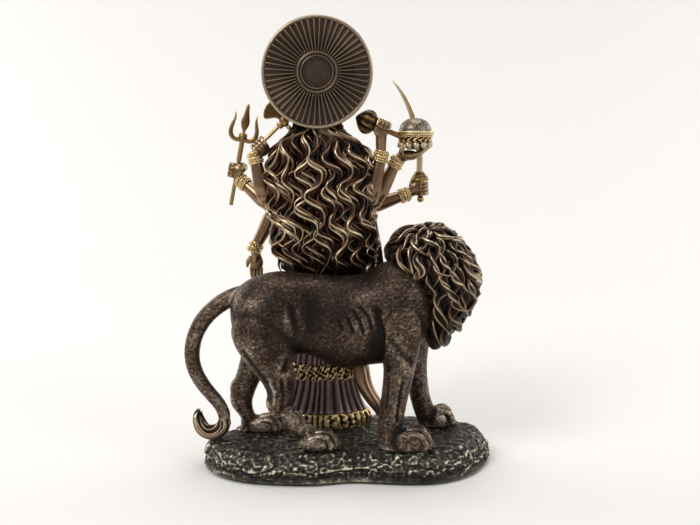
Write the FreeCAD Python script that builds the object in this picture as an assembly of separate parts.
"""A cast figure of an eight-armed goddess who stands on a rock beside her lion, with a round halo behind her head.

The object is an assembly of separate castings: the rock base with a felt pad, the lion with its head, mane and tail,
the figure's torso, head, crown, hair, skirt and arms, and the things that the hands hold. Steel dowels join them.
The trident is the one loose piece: its shaft drops through a fist and rests on a shoulder, so it lifts out.

Frame: millimetres, +Z up, +Y the way the goddess faces, +X the way the lion walks. The origin is the middle of the
felt pad's underside. Each sub-part is written to parts/NODE.step.
"""

import FreeCAD
import Part
import math
import os

V = FreeCAD.Vector
UP = V(0, 0, 1)

# ---- Lion ----
LION_SCALE = 1.0
LION_Y = -10.0          # middle plane of the lion's body
LION_HALF_WIDTH = 21.5  # at full size, from the middle plane to the side that the figure's back rests on
TAIL_ROOT_R = 5.6
TAIL_TIP_R = 3.6

# ---- Base ----
BASE_LENGTH = 175.0 * LION_SCALE
BASE_DEPTH = 95.5 * LION_SCALE
DECK_Z = 16.0           # height of the level top that the feet stand on
RIM_Z = 9.5             # height of the rock's outer lip
FELT_T = 1.0
FELT_INSET = 5.0
DECK_INSET = 9.0

# ---- Goddess ----
FIGURE_SCALE = 1.0
FIGURE_X = -16.0
FIGURE_BACK = 12.5      # at full size, from the figure's middle to its back
FIGURE_Y = LION_Y + LION_HALF_WIDTH * LION_SCALE + FIGURE_BACK * FIGURE_SCALE
ARM_SHOULDER_R = 3.6
ARM_ELBOW_R = 4.2
ARM_WRIST_R = 3.0
BRACELET_WALL = 1.5
BRACELET_WIDTH = 5.5

# ---- Halo ----
HALO_R = 32.6
HALO_T = 4.0
HALO_RIM_W = 1.7
HALO_RIM_H = 1.2
HALO_BOSS_R = 10.2
HALO_FRONT = 4.0        # at full size, where the disc's side towards the head lies
HALO_LIFT = 232.8       # height of the disc's middle

# ---- Things in the hands ----
TRIDENT_R = 1.65
TRIDENT_TENON_R = 1.25  # the thinner stretch below the shoulder
TRIDENT_PLAY = 0.08     # radial play in the fist
AXE_R = 1.1
MACE_R = 1.6
BOWL_R = 11.5
BLADE_W = 3.8
BLADE_T = 1.6
GRIP_R = 1.6

# ---- Dowels ----
DOWEL_R = 1.2
PEG_R = 1.6
GLUE_GAP = 0.05         # radial gap that the glue fills around a dowel


# ================= shape helpers =================
def ring(points):
    """A closed smooth wire through points."""
    curve = Part.BSplineCurve()
    curve.interpolate(points, PeriodicFlag=True)
    return Part.Wire(curve.toShape())


def oval(centre, u, v, ru, rv, rv_back=None, count=12):
    """A closed oval about centre; rv_back is its reach along -v, where that differs."""
    rv_back = rv if rv_back is None else rv_back
    points = []
    for i in range(count):
        a = 2 * math.pi * i / count
        reach = rv if math.sin(a) >= 0 else rv_back
        points.append(centre + u * (ru * math.cos(a)) + v * (reach * math.sin(a)))
    return ring(points)


def level(x, y, z, rx, ry, ry_back=None):
    """An oval in a level plane."""
    return oval(V(x, y, z), V(1, 0, 0), V(0, 1, 0), rx, ry, ry_back)


def loft(wires):
    return Part.makeLoft(wires, True, False)


def egg(centre, u, v, ru, rv, half):
    """A rounded lump with its length along u x v."""
    w = u.cross(v)
    rows = ((-1, 0.25), (-0.86, 0.6), (-0.5, 0.89), (0, 1), (0.5, 0.89), (0.86, 0.6), (1, 0.25))
    return loft([oval(centre + w * (half * h), u, v, ru * r, rv * r) for h, r in rows])


def blob(x, y, z, rx, ry, rz):
    return egg(V(x, y, z), V(1, 0, 0), V(0, 1, 0), rx, ry, rz)


def limb(points, radii, flat=1.0):
    """A round limb: circles square to the path, flattened by flat along the frame's second axis."""
    wires = []
    side = None
    last = len(points) - 1
    for i, p in enumerate(points):
        along = (points[min(i + 1, last)] - points[max(i - 1, 0)]).normalize()
        if side is None:
            side = along.cross(V(0, 1, 0))
            if side.Length < 0.2:
                side = along.cross(V(1, 0, 0))
        side = (side - along * side.dot(along)).normalize()
        wires.append(oval(p, side, along.cross(side), radii[i], radii[i] * flat))
    return loft(wires)


def rod(start, end, radius):
    return Part.makeCylinder(radius, (end - start).Length, start, end - start)


def ball(centre, radius):
    return Part.makeSphere(radius, centre)


def join(first, *others):
    return first.fuse(list(others)).removeSplitter()


def carve(piece, *tools):
    """piece without tools, kept as its largest solid."""
    for tool in tools:
        if piece.BoundBox.intersect(tool.BoundBox):
            piece = max(piece.cut(tool).Solids, key=lambda s: s.Volume)
    return piece


def save(name, *solids):
    os.makedirs("parts", exist_ok=True)
    shape = solids[0] if len(solids) == 1 else Part.makeCompound(list(solids))
    shape.exportStep(os.path.join("parts", name + ".step"))


def above_deck(shape):
    """shape without what reaches below the deck."""
    reach = 400.0
    box = Part.makeBox(reach, reach, reach, V(-reach / 2, -reach / 2, DECK_Z - reach))
    return shape.cut(box)


# ================= placing =================
def on_lion(x, y, z):
    """A point on the lion, from its place at full size; it grows from the middle of its feet on the deck."""
    return V(x * LION_SCALE, LION_Y + y * LION_SCALE, DECK_Z + (z - 16.0) * LION_SCALE)


def on_figure(x, y, z):
    """A point on the figure, given from the full-size frame; it grows from the middle of the skirt's foot."""
    k = FIGURE_SCALE
    return V(FIGURE_X + (x + 16.0) * k, FIGURE_Y + (y - 24.0) * k, DECK_Z + (z - 16.0) * k)


def figure_level(x, y, z, rx, ry, ry_back=None):
    c = on_figure(x, y, z)
    k = FIGURE_SCALE
    return level(c.x, c.y, c.z, rx * k, ry * k, None if ry_back is None else ry_back * k)


def lion_blob(x, y, z, rx, ry, rz):
    c = on_lion(x, y, z)
    return blob(c.x, c.y, c.z, rx * LION_SCALE, ry * LION_SCALE, rz * LION_SCALE)


def figure_blob(x, y, z, rx, ry, rz):
    c = on_figure(x, y, z)
    k = FIGURE_SCALE
    return blob(c.x, c.y, c.z, rx * k, ry * k, rz * k)


# ================= base =================
BASE_OUTLINE = [  # at full size
    (-86, -8), (-81, -26), (-69, -38.5), (-55, -45), (-37, -48), (-14, -48), (2, -44.5), (14, -45), (31, -47),
    (53, -45.5), (66, -39), (77, -28), (85, -13), (89, 4), (88, 19), (80, 30), (62, 37), (36, 43), (8, 47),
    (-20, 47.5), (-44, 38), (-64, 21), (-80, 6),
]


def base_ring(z, inset):
    half_length, half_depth = BASE_LENGTH / 2, BASE_DEPTH / 2
    kx = (half_length - inset) / 87.5
    ky = (half_depth - inset) / 47.75
    return ring([V(x * kx, y * ky, z) for x, y in BASE_OUTLINE])


def make_base():
    lip = RIM_Z - FELT_T
    return loft([
        base_ring(FELT_T, 1.5),
        base_ring(FELT_T + 0.4 * lip, 0.0),
        base_ring(RIM_Z, 1.0),
        base_ring(RIM_Z + 0.6 * (DECK_Z - RIM_Z), DECK_INSET * 0.5),
        base_ring(DECK_Z, DECK_INSET),
    ])


def make_felt():
    return Part.Face(base_ring(0.0, FELT_INSET)).extrude(UP * FELT_T)


# ================= lion =================
LION_TRUNK = [  # x, middle height, half height, half width
    (-67.5, 92.5, 5.0, 4.0), (-65.0, 92.5, 12.5, 10.0), (-60.0, 92.0, 18.5, 15.5), (-51.0, 91.0, 24.0, 19.5),
    (-38.0, 91.5, 26.0, 20.5), (-24.0, 91.5, 25.0, 19.5), (-8.0, 88.0, 27.0, 19.5), (8.0, 88.0, 27.5, 20.5),
    (22.0, 92.0, 29.5, 21.5), (35.0, 95.5, 28.5, 20.5), (45.0, 98.0, 23.0, 16.5), (52.0, 98.0, 14.0, 10.0),
]
# Each leg: level ovals from the top down, as height, x, y, half length, half width.
NEAR_HIND = [
    (96, -47, -10, 14, 8), (86, -47.5, -12, 18, 9.5), (74, -46, -12.5, 16.5, 10), (64, -42.5, -12.5, 13, 9.5),
    (55, -39.3, -12, 9.8, 8.5), (46, -38, -11.5, 7.8, 7.5), (38, -38.5, -11.5, 7.2, 6.5), (33, -37, -12, 5.5, 5),
]
FAR_HIND = [
    (96, -48, 8, 13, 8), (84, -50, 10, 14, 9), (70, -52, 12, 10.5, 8.5), (58, -56.5, 13.5, 8.7, 7.5),
    (48, -60.5, 14.5, 8, 6.5), (40, -63.5, 15, 7.5, 6), (30, -63.5, 15.5, 6, 5.5), (16, -63.5, 16, 6.5, 6.5),
]
NEAR_FORE = [
    (102, 30, -12, 13, 8), (88, 30, -14, 14, 9), (76, 31, -14.5, 11.5, 9), (65, 31, -15, 9.3, 8.5),
    (53, 29.5, -15.5, 8.2, 7.8), (44, 28, -16, 7.8, 7.2), (35, 26.5, -16.5, 7.6, 7), (26, 26, -17, 7.4, 7),
    (16, 27, -17.5, 8, 7.5),
]
FAR_FORE = [
    (98, 38, 8, 11, 7), (84, 40, 11, 10, 8), (70, 42, 14, 8.5, 7.5), (56, 43, 18, 7, 7),
    (44, 44.5, 21, 6.5, 6.5), (34, 46.5, 23, 6.5, 6.2), (24, 50, 24.5, 7, 6.5), (16, 53, 25, 7.5, 7),
]
# Each paw: middle x, y, height and half sizes.
PAWS = {
    "near_hind": (-17.0, -19.5, 20.5, 10.5, 7.0, 6.5),
    "far_hind": (-52.0, 15.0, 19.0, 11.0, 6.5, 6.5),
    "near_fore": (36.5, -19.5, 20.5, 11.5, 7.5, 8.0),
    "far_fore": (57.5, 24.5, 20.0, 8.0, 7.5, 8.0),
}


def lion_leg(rows):
    k = LION_SCALE
    wires = []
    for z, x, y, rx, ry in rows:
        c = on_lion(x, y, z)
        wires.append(level(c.x, c.y, c.z, rx * k, ry * k))
    return loft(wires)


def make_lion_body():
    k = LION_SCALE
    trunk = loft([
        oval(on_lion(x, 0, z), V(0, 1, 0), V(0, 0, 1), wide * k, high * k) for x, z, high, wide in LION_TRUNK
    ])
    legs = [lion_leg(rows) for rows in (NEAR_HIND, FAR_HIND, NEAR_FORE, FAR_FORE)]
    hock = [on_lion(-38.5, -11.5, 41), on_lion(-33, -13.5, 34), on_lion(-25, -16.5, 27), on_lion(-15.5, -19, 21.5)]
    instep = limb(hock, [6.0 * k, 6.0 * k, 5.6 * k, 5.0 * k])
    paws = [lion_blob(*PAWS[name]) for name in PAWS]
    body = trunk
    for piece in [*legs, instep, *paws]:
        body = body.fuse(piece)
    return above_deck(body).Solids[0]


MANE_RINGS = [  # height, x, y, half length, half depth
    (73, 52.5, -2, 2.2, 4), (76, 54, -1, 5.5, 9), (82, 56.5, 1, 9, 14), (90, 58.5, 3, 12, 19),
    (100, 59.5, 5, 17, 23), (110, 57, 6, 21.5, 25), (120, 52, 6, 25, 25), (130, 48, 6, 22.5, 22.5),
    (137, 47.5, 6, 17, 16.5), (141.3, 49, 6, 10, 9.5), (142.6, 50, 6, 4, 4),
]
HEAD_RINGS = [  # distance forward, x, height, half width, half height, from the nape to the nose
    (11, 56.5, 112, 6, 7), (16, 57, 112.5, 10.5, 12), (24, 58, 113, 12.5, 14.2), (31, 58.5, 112, 12, 13.4),
    (36, 59, 110, 9.8, 11), (40, 59.3, 107.3, 8, 8.6), (44, 59.6, 106, 7.6, 7.6), (47.5, 59.8, 105.6, 5.6, 5.6),
    (49, 59.8, 105.6, 3, 3),
]


def make_lion_head():
    k = LION_SCALE
    skull = loft([
        oval(on_lion(x, y, z), V(-1, 0, 0), V(0, 0, 1), wide * k, high * k) for y, x, z, wide, high in HEAD_RINGS
    ])
    ears = [lion_blob(x, 27, 125, 4, 3, 4.5) for x in (48.5, 68.0)]
    return skull.fuse(ears[0]).fuse(ears[1])


def make_mane(body, head):
    k = LION_SCALE
    wires = []
    for z, x, y, rx, ry in MANE_RINGS:
        c = on_lion(x, y, z)
        wires.append(level(c.x, c.y, c.z, rx * k, ry * k))
    return carve(loft(wires), body, head)


TAIL_PATH = [  # x and height; the tail lies in one plane
    (-55, 103.5), (-62.3, 103.3), (-72.4, 99.0), (-80.9, 92.2), (-87.2, 83.5), (-90.8, 73.2), (-91.0, 62.8),
    (-88.4, 54.7), (-83.9, 47.2), (-78.6, 40.7), (-74.4, 34.5), (-72.6, 27.2), (-74.6, 20.4), (-80.2, 17.8),
    (-85.2, 20.2), (-88.0, 24.6), (-88.4, 29.6), (-86.6, 33.2),
]
TAIL_Y = 0.0            # from the lion's middle plane
TUFT_START = 11         # the point on the path where the hair tuft begins


def tail_point(i):
    x, z = TAIL_PATH[i]
    return on_lion(x, TAIL_Y, z)


def make_tail(body):
    k = LION_SCALE
    count = TUFT_START + 1
    radii = [(TAIL_ROOT_R + (TAIL_TIP_R - TAIL_ROOT_R) * i / (count - 1)) * k for i in range(count)]
    tail = limb([tail_point(i) for i in range(count)], radii)
    return carve(tail, body)


def make_tuft():
    k = LION_SCALE
    radii = [3.6, 4.4, 5.0, 4.8, 4.3, 3.8, 2.9]
    path = [tail_point(TUFT_START + i) for i in range(len(radii))]
    return limb(path, [r * k for r in radii])


# ================= goddess =================
TORSO_RINGS = [  # height, x, y, half width, half depth
    (115, -15, 24, 17.5, 11.5), (126, -16, 24, 14, 10), (136, -16.5, 24, 12.5, 9.5), (150, -16.5, 24.5, 14.5, 11),
    (164, -16.5, 25, 17, 12.5), (176, -16.5, 24.5, 19.5, 11.5), (186, -16.5, 24, 19, 9.5), (192, -16.5, 24, 12, 8),
    (196, -16.5, 24, 6.5, 6.5), (203, -16.5, 25, 5.5, 5.5),
]
SHOULDERS_L = [(-37, 15, 184), (-38, 22, 183), (-37.5, 29.5, 182), (-36, 36, 181)]
# Each arm: shoulder, elbow, wrist and middle of the palm, at full size.
ARMS = {
    "arm_axe": ((-38, 14.5, 184), (-49.5, 11, 159.5), (-54.3, 11, 183), (-53.9, 11, 192)),
    "arm_trident": ((-38.5, 22, 183), (-47.5, 21.5, 154), (-64.0, 29, 167.5), (-68.0, 32, 174.5)),
    "arm_varada": ((-37.5, 29.5, 182), (-44.5, 31, 150.5), (-57.0, 28, 126.5), (-56.3, 28, 116)),
    "arm_lotus": ((-35.5, 36, 181), (-42, 41, 151), (-32.5, 56, 158.5), (-29, 60, 166)),
    "arm_mace": ((5, 14.5, 184), (15.3, 11, 158.5), (21.0, 11, 184), (20.6, 12, 199.4)),
    "arm_bowl": ((5.5, 22, 183), (18.2, 20, 156), (30.5, 20, 180), (38.5, 20, 185)),
    "arm_sword": ((4.5, 29.5, 182), (14, 28.5, 152), (36.5, 30, 159.5), (45.5, 31.5, 164)),
    "arm_blessing": ((2.5, 36, 181), (9, 41, 151), (1, 56, 163), (-1, 58, 173)),
}
# Each palm's half sizes, square to the forearm and along it.
PALMS = {
    "arm_axe": (5.0, 4.6, 6.4), "arm_trident": (5.0, 4.6, 6.0), "arm_varada": (5.4, 2.6, 10.5),
    "arm_lotus": (4.2, 4.2, 5.4), "arm_mace": (5.2, 4.8, 7.2), "arm_bowl": (8.0, 6.5, 2.4),
    "arm_sword": (5.0, 4.8, 5.6), "arm_blessing": (4.6, 2.4, 9.0),
}

TRIDENT_FOOT = (-72.2, 32.0, 153.2)
TRIDENT_TIP = (-59.9, 32.0, 216.8)
TRIDENT_NECK = 0.66     # share of the whole length where the head begins
TRIDENT_SHOULDER = 0.43  # share of the whole length where the tenon ends, on top of the fist
AXE_FOOT = (-56.6, 8.5, 185.6)
AXE_HUB = (-36.8, 11.5, 204.8)
MACE_HEAD = (12.5, 12.0, 204.6)
MACE_FOOT = (33.0, 14.5, 195.6)
BOWL_FOOT_Z = 187.8
BOWL_RIM_Z = 198.6
HEAP_TOP_Z = 206.6
SWORD_GRIP = ((46.6, 31.5, 157.0), (45.9, 31.5, 169.8))
BOWL_AT = (42.0, SWORD_GRIP[1][1] - BLADE_T / 2 - BOWL_R - 0.1)    # just inside the blade
BLADE_PATH = [(45.8, 173.6), (45.8, 183), (44.6, 195), (41.7, 207), (36.2, 219.5), (28.6, 230.0)]
LOTUS_AT = (-28.5, 60.5, 171.0)


def along(a, b, share):
    return a + (b - a) * share


def make_torso():
    return loft([figure_level(x, y, z, rx, ry) for z, x, y, rx, ry in TORSO_RINGS])


def make_head(torso):
    skull = figure_blob(-16.5, 25, 217.5, 9.5, 11, 11.5)
    jaw = figure_blob(-16.5, 29, 210.5, 6.6, 7, 8.5)
    return carve(skull.fuse(jaw), torso)


def make_crown(head):
    c = on_figure(-16.5, 25, 220.5)
    k = FIGURE_SCALE
    profile = [
        (0, 0), (11.5, 0), (12.2, 4), (10.5, 7), (10.8, 11), (8.5, 14), (8.6, 18), (6, 22), (5.6, 26), (2.4, 31),
        (2.6, 34), (0, 38),
    ]
    points = [V(c.x + r * k, c.y, c.z + h * k) for r, h in profile]
    face = Part.Face(Part.makePolygon([*points, points[0]]))
    return carve(face.revolve(V(c.x, c.y, c.z), UP, 360), head)


def make_palm(name):
    wrist, palm = (on_figure(*p) for p in ARMS[name][2:])
    wide, thick, long = (size * FIGURE_SCALE for size in PALMS[name])
    if name == "arm_bowl":
        return egg(palm, V(1, 0, 0), V(0, 1, 0), wide, thick, long)
    direction = (palm - wrist).normalize()
    side = V(1, 0, 0)
    side = (side - direction * side.dot(direction)).normalize()
    return egg(palm, side, direction.cross(side), wide, thick, long)


def make_arm(name):
    k = FIGURE_SCALE
    shoulder, elbow, wrist, palm = (on_figure(*p) for p in ARMS[name])
    upper = limb([shoulder, along(shoulder, elbow, 0.35), along(shoulder, elbow, 0.7), elbow],
                 [r * k for r in (ARM_SHOULDER_R, ARM_SHOULDER_R * 1.06, ARM_SHOULDER_R, ARM_ELBOW_R * 0.9)])
    fore = limb([elbow, along(elbow, wrist, 0.3), along(elbow, wrist, 0.65), wrist, along(wrist, palm, 0.6)],
                [r * k for r in (ARM_ELBOW_R * 0.92, ARM_ELBOW_R, (ARM_ELBOW_R + ARM_WRIST_R) / 2, ARM_WRIST_R,
                                 ARM_WRIST_R * 1.05)])
    shape = join(upper, fore, ball(elbow, ARM_ELBOW_R * k), ball(shoulder, ARM_SHOULDER_R * 1.02 * k))
    return shape.fuse(make_palm(name))


def make_bracelet(name, *neighbours):
    wrist, palm = (on_figure(*p) for p in ARMS[name][2:])
    elbow = on_figure(*ARMS[name][1])
    direction = (wrist - elbow).normalize()
    half = BRACELET_WIDTH / 2 * FIGURE_SCALE
    outer = (ARM_WRIST_R + BRACELET_WALL) * FIGURE_SCALE
    cuff = Part.makeCylinder(outer, 2 * half, wrist - direction * half, direction)
    return carve(cuff, *neighbours)


HAIR_RINGS = [  # height, x, half width, reach towards the lion
    (100, -13, 14, 5), (106, -12, 21, 8), (115, -11.5, 28, 13), (127, -13, 31, 15.5), (141, -13.5, 30.5, 16),
    (153, -15.5, 30.5, 16), (166, -16, 31, 15), (178, -16, 30.5, 13.5), (187, -17, 28.5, 11), (192.5, -16.8, 23, 8.5),
    (198, -16.5, 16, 5.5), (206, -16.5, 14.5, 3), (216, -16.5, 12.5, 3),
]
HAIR_PLANE_Y = 11.0     # the level from which the hair swells towards the lion
HAIR_DEPTH_FRONT = 2.5


def make_hair(*neighbours):
    k = FIGURE_SCALE
    wires = []
    for z, x, half, reach in HAIR_RINGS:
        wires.append(figure_level(x, HAIR_PLANE_Y, z, half, HAIR_DEPTH_FRONT, reach))
    return carve(loft(wires), *neighbours)


def make_halo():
    centre = on_figure(-16.7, HALO_FRONT, HALO_LIFT)
    back = -HALO_T
    profile = [
        (0, 0), (HALO_R, 0), (HALO_R, back), (HALO_R - HALO_RIM_W, back), (HALO_R - HALO_RIM_W, back + HALO_RIM_H),
        (HALO_BOSS_R + 2.6, back + HALO_RIM_H * 1.6), (HALO_BOSS_R + 1.6, back + HALO_RIM_H * 0.8),
        (HALO_BOSS_R, back + HALO_RIM_H * 0.8), (HALO_BOSS_R, back + HALO_RIM_H), (0, back + HALO_RIM_H),
    ]
    points = [centre + V(r, y, 0) for r, y in profile]
    face = Part.Face(Part.makePolygon([*points, points[0]]))
    return face.revolve(centre, V(0, 1, 0), 360)


SKIRT_HEM = [  # height, x, y, half width, half depth, as in the other tiers
    (16, -14.5, 22.5, 30.0, 17.5), (20, -14.5, 22.8, 30.5, 17.5), (25, -14.5, 23.2, 28.5, 16.5),
]
SKIRT_LOWER = [
    (25, -14.5, 23.2, 27.5, 15.5), (38, -15, 23.8, 22.5, 13), (52, -15.5, 24, 20.0, 11.6), (64, -15.5, 24, 18.5, 11),
]
SKIRT_UPPER = [
    (64, -15.5, 24.3, 22.5, 12.5), (76, -15.5, 24.3, 20.8, 12), (92, -15.5, 24.3, 20.2, 12),
    (108, -15, 24.3, 19.0, 12),
]
HIP_BELT = [(108, -15, 24.3, 20.5, 12.2), (111.5, -15, 24.3, 21, 12.4), (115, -15, 24.3, 19.5, 12.2)]


def make_tier(rows):
    return loft([figure_level(x, y, z, rx, ry) for z, x, y, rx, ry in rows])


def make_leg(*neighbours):
    k = FIGURE_SCALE
    path = [on_figure(4, 18, 58), on_figure(9.5, 14, 52), on_figure(12, 11, 42), on_figure(17.5, 9.5, 33),
            on_figure(22.5, 10, 25), on_figure(24, 12, 19)]
    shin = limb(path, [r * k for r in (5.0, 5.4, 4.8, 4.2, 3.4, 3.6)])
    foot = figure_blob(25, 17, 18.5, 4.2, 9, 4.2)
    return carve(above_deck(shin.fuse(foot)), *neighbours)


def make_foot(*neighbours):
    """The toes of the standing foot, in front of the hem."""
    return carve(above_deck(figure_blob(-22, 41, 18.5, 4.4, 7.5, 4.0)), *neighbours)


def make_sash(*neighbours):
    rows = [
        (151, 13.4, 18.5, 5.2, 1.5), (138, 12.5, 18, 7.8, 1.6), (124, 11.5, 17.5, 11.3, 1.7),
        (110, 10.5, 17, 13.5, 1.8), (100, 10, 16.5, 14.0, 1.8),
    ]
    return carve(make_tier(rows), *neighbours)


# ================= things in the hands =================
def make_trident():
    foot, tip = on_figure(*TRIDENT_FOOT), on_figure(*TRIDENT_TIP)
    neck, shoulder = along(foot, tip, TRIDENT_NECK), along(foot, tip, TRIDENT_SHOULDER)
    axis = (tip - foot).normalize()
    side = V(axis.z, 0, -axis.x)
    k = FIGURE_SCALE
    shaft = join(rod(foot, shoulder, TRIDENT_TENON_R), rod(shoulder, neck, TRIDENT_R))
    collar = rod(neck, neck + axis * 2.0 * k, TRIDENT_R * 1.5)
    sizes = ((1.5, 1.3, 1.3), (4.5, 1.2, 1.0), (8, 2.6, 1.3), (12, 2.4, 1.1), (17, 1.4, 0.8), (21.2, 0.35, 0.35))
    blade = loft([oval(neck + axis * (h * k), side, V(0, 1, 0), w * k, t * k) for h, w, t in sizes])
    prongs = []
    for hand in (1, -1):
        path = [neck + axis * (h * k) + side * (hand * w * k)
                for w, h in ((0, 0.8), (3.2, -1.8), (6.6, -0.6), (8.1, 3.4), (7.4, 8), (6.6, 11.5), (7.2, 15))]
        prongs.append(limb(path, [r * k for r in (1.3, 1.45, 1.5, 1.4, 1.15, 0.8, 0.3)], 0.8))
    head = collar
    for piece in [blade, *prongs]:
        head = head.fuse(piece)
    return shaft, carve(head, rod(foot, neck, TRIDENT_R))


def make_axe():
    foot, hub = on_figure(*AXE_FOOT), on_figure(*AXE_HUB)
    k = FIGURE_SCALE
    axis = (hub - foot).normalize()
    side = V(-axis.z, 0, axis.x).normalize()
    shaft = rod(foot, hub, AXE_R * k)
    hub_shape = figure_blob(*AXE_HUB, 3.0, 2.4, 3.4)
    finial = ball(hub - side * (4.6 * k) - axis * (0.6 * k), 1.5 * k)
    neck = rod(hub, hub - side * (4.6 * k) - axis * (0.6 * k), 0.9 * k)
    half = 0.9 * k
    outline = [
        (1.5, -1.8), (5.5, -3.2), (9.0, -7.4), (13.0, -4.0), (14.2, 1.0), (12.6, 6.2), (8.5, 9.0), (5.0, 4.4), (1.5, 2.2),
    ]
    points = [hub + side * (w * k) + axis * (h * k) + V(0, -half, 0) for w, h in outline]
    blade = Part.Face(ring(points)).extrude(V(0, 2 * half, 0))
    head = join(hub_shape, finial, neck).fuse(blade)
    return shaft, carve(head, shaft)


def make_mace(*neighbours):
    head_at, foot = on_figure(*MACE_HEAD), on_figure(*MACE_FOOT)
    k = FIGURE_SCALE
    axis = (head_at - foot).normalize()
    side = V(0, 1, 0)
    other = axis.cross(side).normalize()
    head = loft([
        oval(head_at + axis * (h * k), side, other, r * k, r * k)
        for h, r in ((-6, 2.2), (-4.5, 5.4), (-1.5, 7.0), (2, 6.2), (5, 3.6), (7, 1.0))
    ])
    shaft = carve(rod(foot, head_at - axis * (6 * k), MACE_R * k), *neighbours)
    return shaft, carve(head, shaft)


def make_bowl():
    c = on_figure(BOWL_AT[0], BOWL_AT[1], BOWL_FOOT_Z)
    k = FIGURE_SCALE
    deep = (BOWL_RIM_Z - BOWL_FOOT_Z) * k
    wall = 1.2 * k
    outer = BOWL_R * k
    profile = [
        (0, 0), (5.2 * k, 0), (5.2 * k, 1.2 * k), (0.84 * outer, 0.5 * deep), (0.9 * outer, deep - wall),
        (outer, deep - wall), (outer, deep), (outer - wall, deep), (0.9 * outer - wall, deep - wall),
        (0.8 * outer - wall, 0.5 * deep), (0, 2 * wall),
    ]
    points = [V(c.x + r, c.y, c.z + h) for r, h in profile]
    face = Part.Face(Part.makePolygon([*points, points[0]]))
    return face.revolve(c, UP, 360)


def make_sweets(bowl):
    c = on_figure(BOWL_AT[0], BOWL_AT[1], BOWL_RIM_Z)
    k = FIGURE_SCALE
    high = (HEAP_TOP_Z - BOWL_RIM_Z) * k
    spread = 0.86 * BOWL_R * k
    heap = blob(c.x, c.y, c.z, spread, spread, high)
    return carve(heap, bowl)


def make_sword():
    low, high = (on_figure(*p) for p in SWORD_GRIP)
    k = FIGURE_SCALE
    axis = (high - low).normalize()
    grip = rod(low, high, GRIP_R * k)
    pommel = ball(low, 2.2 * k)
    guard_profile = [(0, -1.2), (5.4, -1.2), (5.8, 0), (4.2, 1.6), (2.8, 4.2), (0, 4.2)]
    side = V(axis.z, 0, -axis.x)
    points = [high + side * (r * k) + axis * (h * k) for r, h in guard_profile]
    guard = Part.Face(Part.makePolygon([*points, points[0]])).revolve(high, axis, 360)
    hilt = join(grip, pommel, guard)
    y = SWORD_GRIP[1][1]
    path = [on_figure(x, y, z) for x, z in BLADE_PATH]
    widths = [BLADE_W * 0.5 * s * k for s in (0.9, 0.95, 1.05, 1.0, 0.72, 0.12)]
    blade = limb(path, widths, BLADE_T / BLADE_W)
    return carve(blade, hilt), hilt


def make_lotus():
    c = on_figure(*LOTUS_AT)
    k = FIGURE_SCALE
    sizes = ((-3, 1.2), (0, 4), (4, 4.8), (8, 3.2), (11, 0.8))
    bud = loft([level(c.x, c.y, c.z + h * k, r * k, r * k) for h, r in sizes])
    stem = rod(on_figure(-29.4, 59.8, 158), c - V(0, 0, 2 * k), 1.0 * k)
    return join(bud, stem)


# ================= dowels =================
def peg(bottom, top, radius):
    """A dowel and the hole that takes it."""
    return rod(bottom, top, radius), rod(bottom, top, radius + GLUE_GAP)


def arm_dowel(name):
    shoulder = on_figure(*ARMS[name][0])
    middle = on_figure(-16.5, 24, ARMS[name][0][2])
    inward = (V(middle.x, shoulder.y, middle.z) - shoulder).normalize()
    k = FIGURE_SCALE
    return peg(shoulder + inward * (7.0 * k), shoulder - inward * (2.0 * k), DOWEL_R * 0.75)


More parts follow.
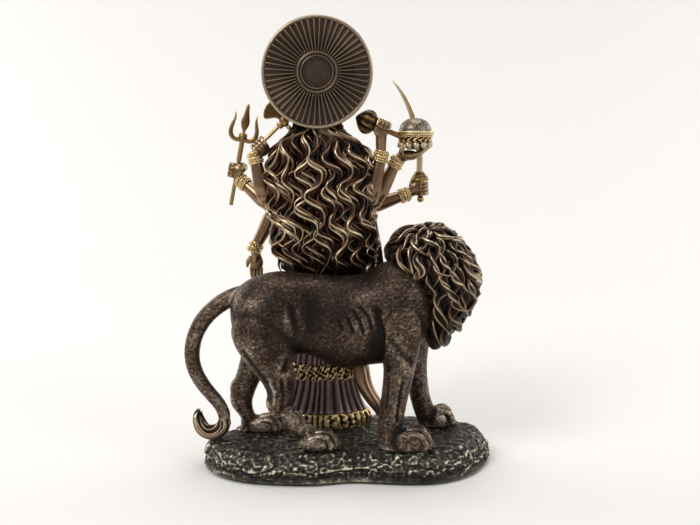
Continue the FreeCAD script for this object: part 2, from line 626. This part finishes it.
def main():
    base, felt = make_base(), make_felt()

    lion_body = make_lion_body()
    lion_head = make_lion_head()
    lion_head = carve(lion_head, lion_body)
    mane = make_mane(lion_body, lion_head)
    tail = make_tail(lion_body)
    tuft = carve(make_tuft(), tail, base)

    torso = make_torso()
    head = make_head(torso)
    crown = make_crown(head)
    hem, lower, upper, belt = (make_tier(rows) for rows in (SKIRT_HEM, SKIRT_LOWER, SKIRT_UPPER, HIP_BELT))
    upper = carve(upper, lion_body)
    lower = carve(lower, lion_body)
    leg = make_leg(hem, lower, upper, lion_body)
    foot = make_foot(hem)

    arms = {}
    for name in ARMS:
        arms[name] = carve(make_arm(name), torso, *[arms[n] for n in arms])

    trident_shaft, trident_head = make_trident()
    axe_shaft, axe_head = make_axe()
    bowl = make_bowl()
    sweets = make_sweets(bowl)
    mace_shaft, mace_head = make_mace(bowl, sweets)
    blade, hilt = make_sword()
    lotus = make_lotus()

    foot_at, tip_at = on_figure(*TRIDENT_FOOT), on_figure(*TRIDENT_TIP)
    axis = (tip_at - foot_at).normalize()
    shoulder_at = along(foot_at, tip_at, TRIDENT_SHOULDER)
    fist_bore = rod(foot_at, shoulder_at + axis, TRIDENT_TENON_R + TRIDENT_PLAY)
    over_fist = rod(shoulder_at, tip_at, 12.0 * FIGURE_SCALE)
    arms["arm_trident"] = carve(arms["arm_trident"], fist_bore, over_fist)
    arms["arm_axe"] = carve(arms["arm_axe"], axe_shaft)
    arms["arm_mace"] = carve(arms["arm_mace"], mace_shaft, mace_head)
    arms["arm_bowl"] = carve(arms["arm_bowl"], bowl)
    arms["arm_sword"] = carve(arms["arm_sword"], hilt)
    arms["arm_lotus"] = carve(arms["arm_lotus"], lotus)
    bracelets = [make_bracelet(name, arms[name], axe_shaft, mace_shaft, trident_shaft) for name in ARMS]

    halo = make_halo()
    hair = make_hair(torso, head, crown, lion_body, halo, upper, belt, *arms.values())
    sash = make_sash(hair, torso, belt, upper, lion_body, *arms.values())

    skull_at = on_figure(-16.5, 25, 219)
    halo_y = on_figure(0, HALO_FRONT, 0).y - HALO_T / 2
    dowels = {
        "halo_dowel": [peg(V(skull_at.x, halo_y, skull_at.z), skull_at, DOWEL_R)],
        "tail_dowel": [peg(tail_point(0) + V(6, 0, 0), tail_point(2), DOWEL_R)],
        "neck_dowel": [peg(on_figure(-16.5, 25, 192), on_figure(-16.5, 25, 213), DOWEL_R)],
        "lion_neck_dowel": [peg(on_lion(46, 6, 104), on_lion(56, 20, 109), DOWEL_R)],
        "arm_dowels": [arm_dowel(name) for name in ARMS],
        "paw_dowels": [
            peg(V(p.x, p.y, DECK_Z - 7.0), V(p.x, p.y, DECK_Z + 7.0 * LION_SCALE), PEG_R)
            for p in (on_lion(-26, -16, 0), on_lion(-63.5, 16, 0), on_lion(27, -17.5, 0), on_lion(53, 25, 0))
        ],
        "figure_dowel": [peg(V(FIGURE_X, FIGURE_Y, DECK_Z - 9.0), on_figure(-16, 24, 123), PEG_R)],
    }
    holes = {name: [hole for _, hole in pairs] for name, pairs in dowels.items()}

    base = carve(base, *holes["paw_dowels"], *holes["figure_dowel"])
    lion_body = carve(lion_body, *holes["paw_dowels"], *holes["tail_dowel"], *holes["lion_neck_dowel"])
    lion_head = carve(lion_head, *holes["lion_neck_dowel"])
    mane = carve(mane, *holes["lion_neck_dowel"])
    tail = carve(tail, *holes["tail_dowel"])
    torso = carve(torso, *holes["neck_dowel"], *holes["arm_dowels"], *holes["figure_dowel"])
    head = carve(head, *holes["neck_dowel"], *holes["halo_dowel"])
    hair = carve(hair, *holes["halo_dowel"])
    crown = carve(crown, *holes["halo_dowel"])
    halo = carve(halo, *holes["halo_dowel"])
    for i, name in enumerate(ARMS):
        arms[name] = carve(arms[name], holes["arm_dowels"][i])
    hem, lower, upper, belt = (carve(piece, *holes["figure_dowel"]) for piece in (hem, lower, upper, belt))

    pieces = {
        "base_rock": base, "felt_pad": felt,
        "lion_body": lion_body, "lion_head": lion_head, "lion_mane": mane, "lion_tail": tail, "tail_tuft": tuft,
        "goddess_torso": torso, "goddess_head": head, "crown": crown, "hair": hair,
        "skirt_hem": hem, "skirt_lower": lower, "skirt_upper": upper, "hip_belt": belt,
        "sash": sash, "bent_leg": leg, "standing_foot": foot,
        "trident_shaft": trident_shaft, "trident_head": trident_head,
        "axe_shaft": axe_shaft, "axe_head": axe_head, "mace_shaft": mace_shaft, "mace_head": mace_head,
        "offering_bowl": bowl, "sweets_heap": sweets, "sword_blade": blade, "sword_hilt": hilt, "lotus_bud": lotus,
        "halo_disc": halo, **arms,
    }
    for name, solid in pieces.items():
        save(name, solid)
    save("bracelets", *bracelets)
    for name, pairs in dowels.items():
        save(name, *[dowel for dowel, _ in pairs])
    for name, solid in pieces.items():
        print(f"{name}: {solid.Volume:.0f} mm3, valid {solid.isValid()}")


main()
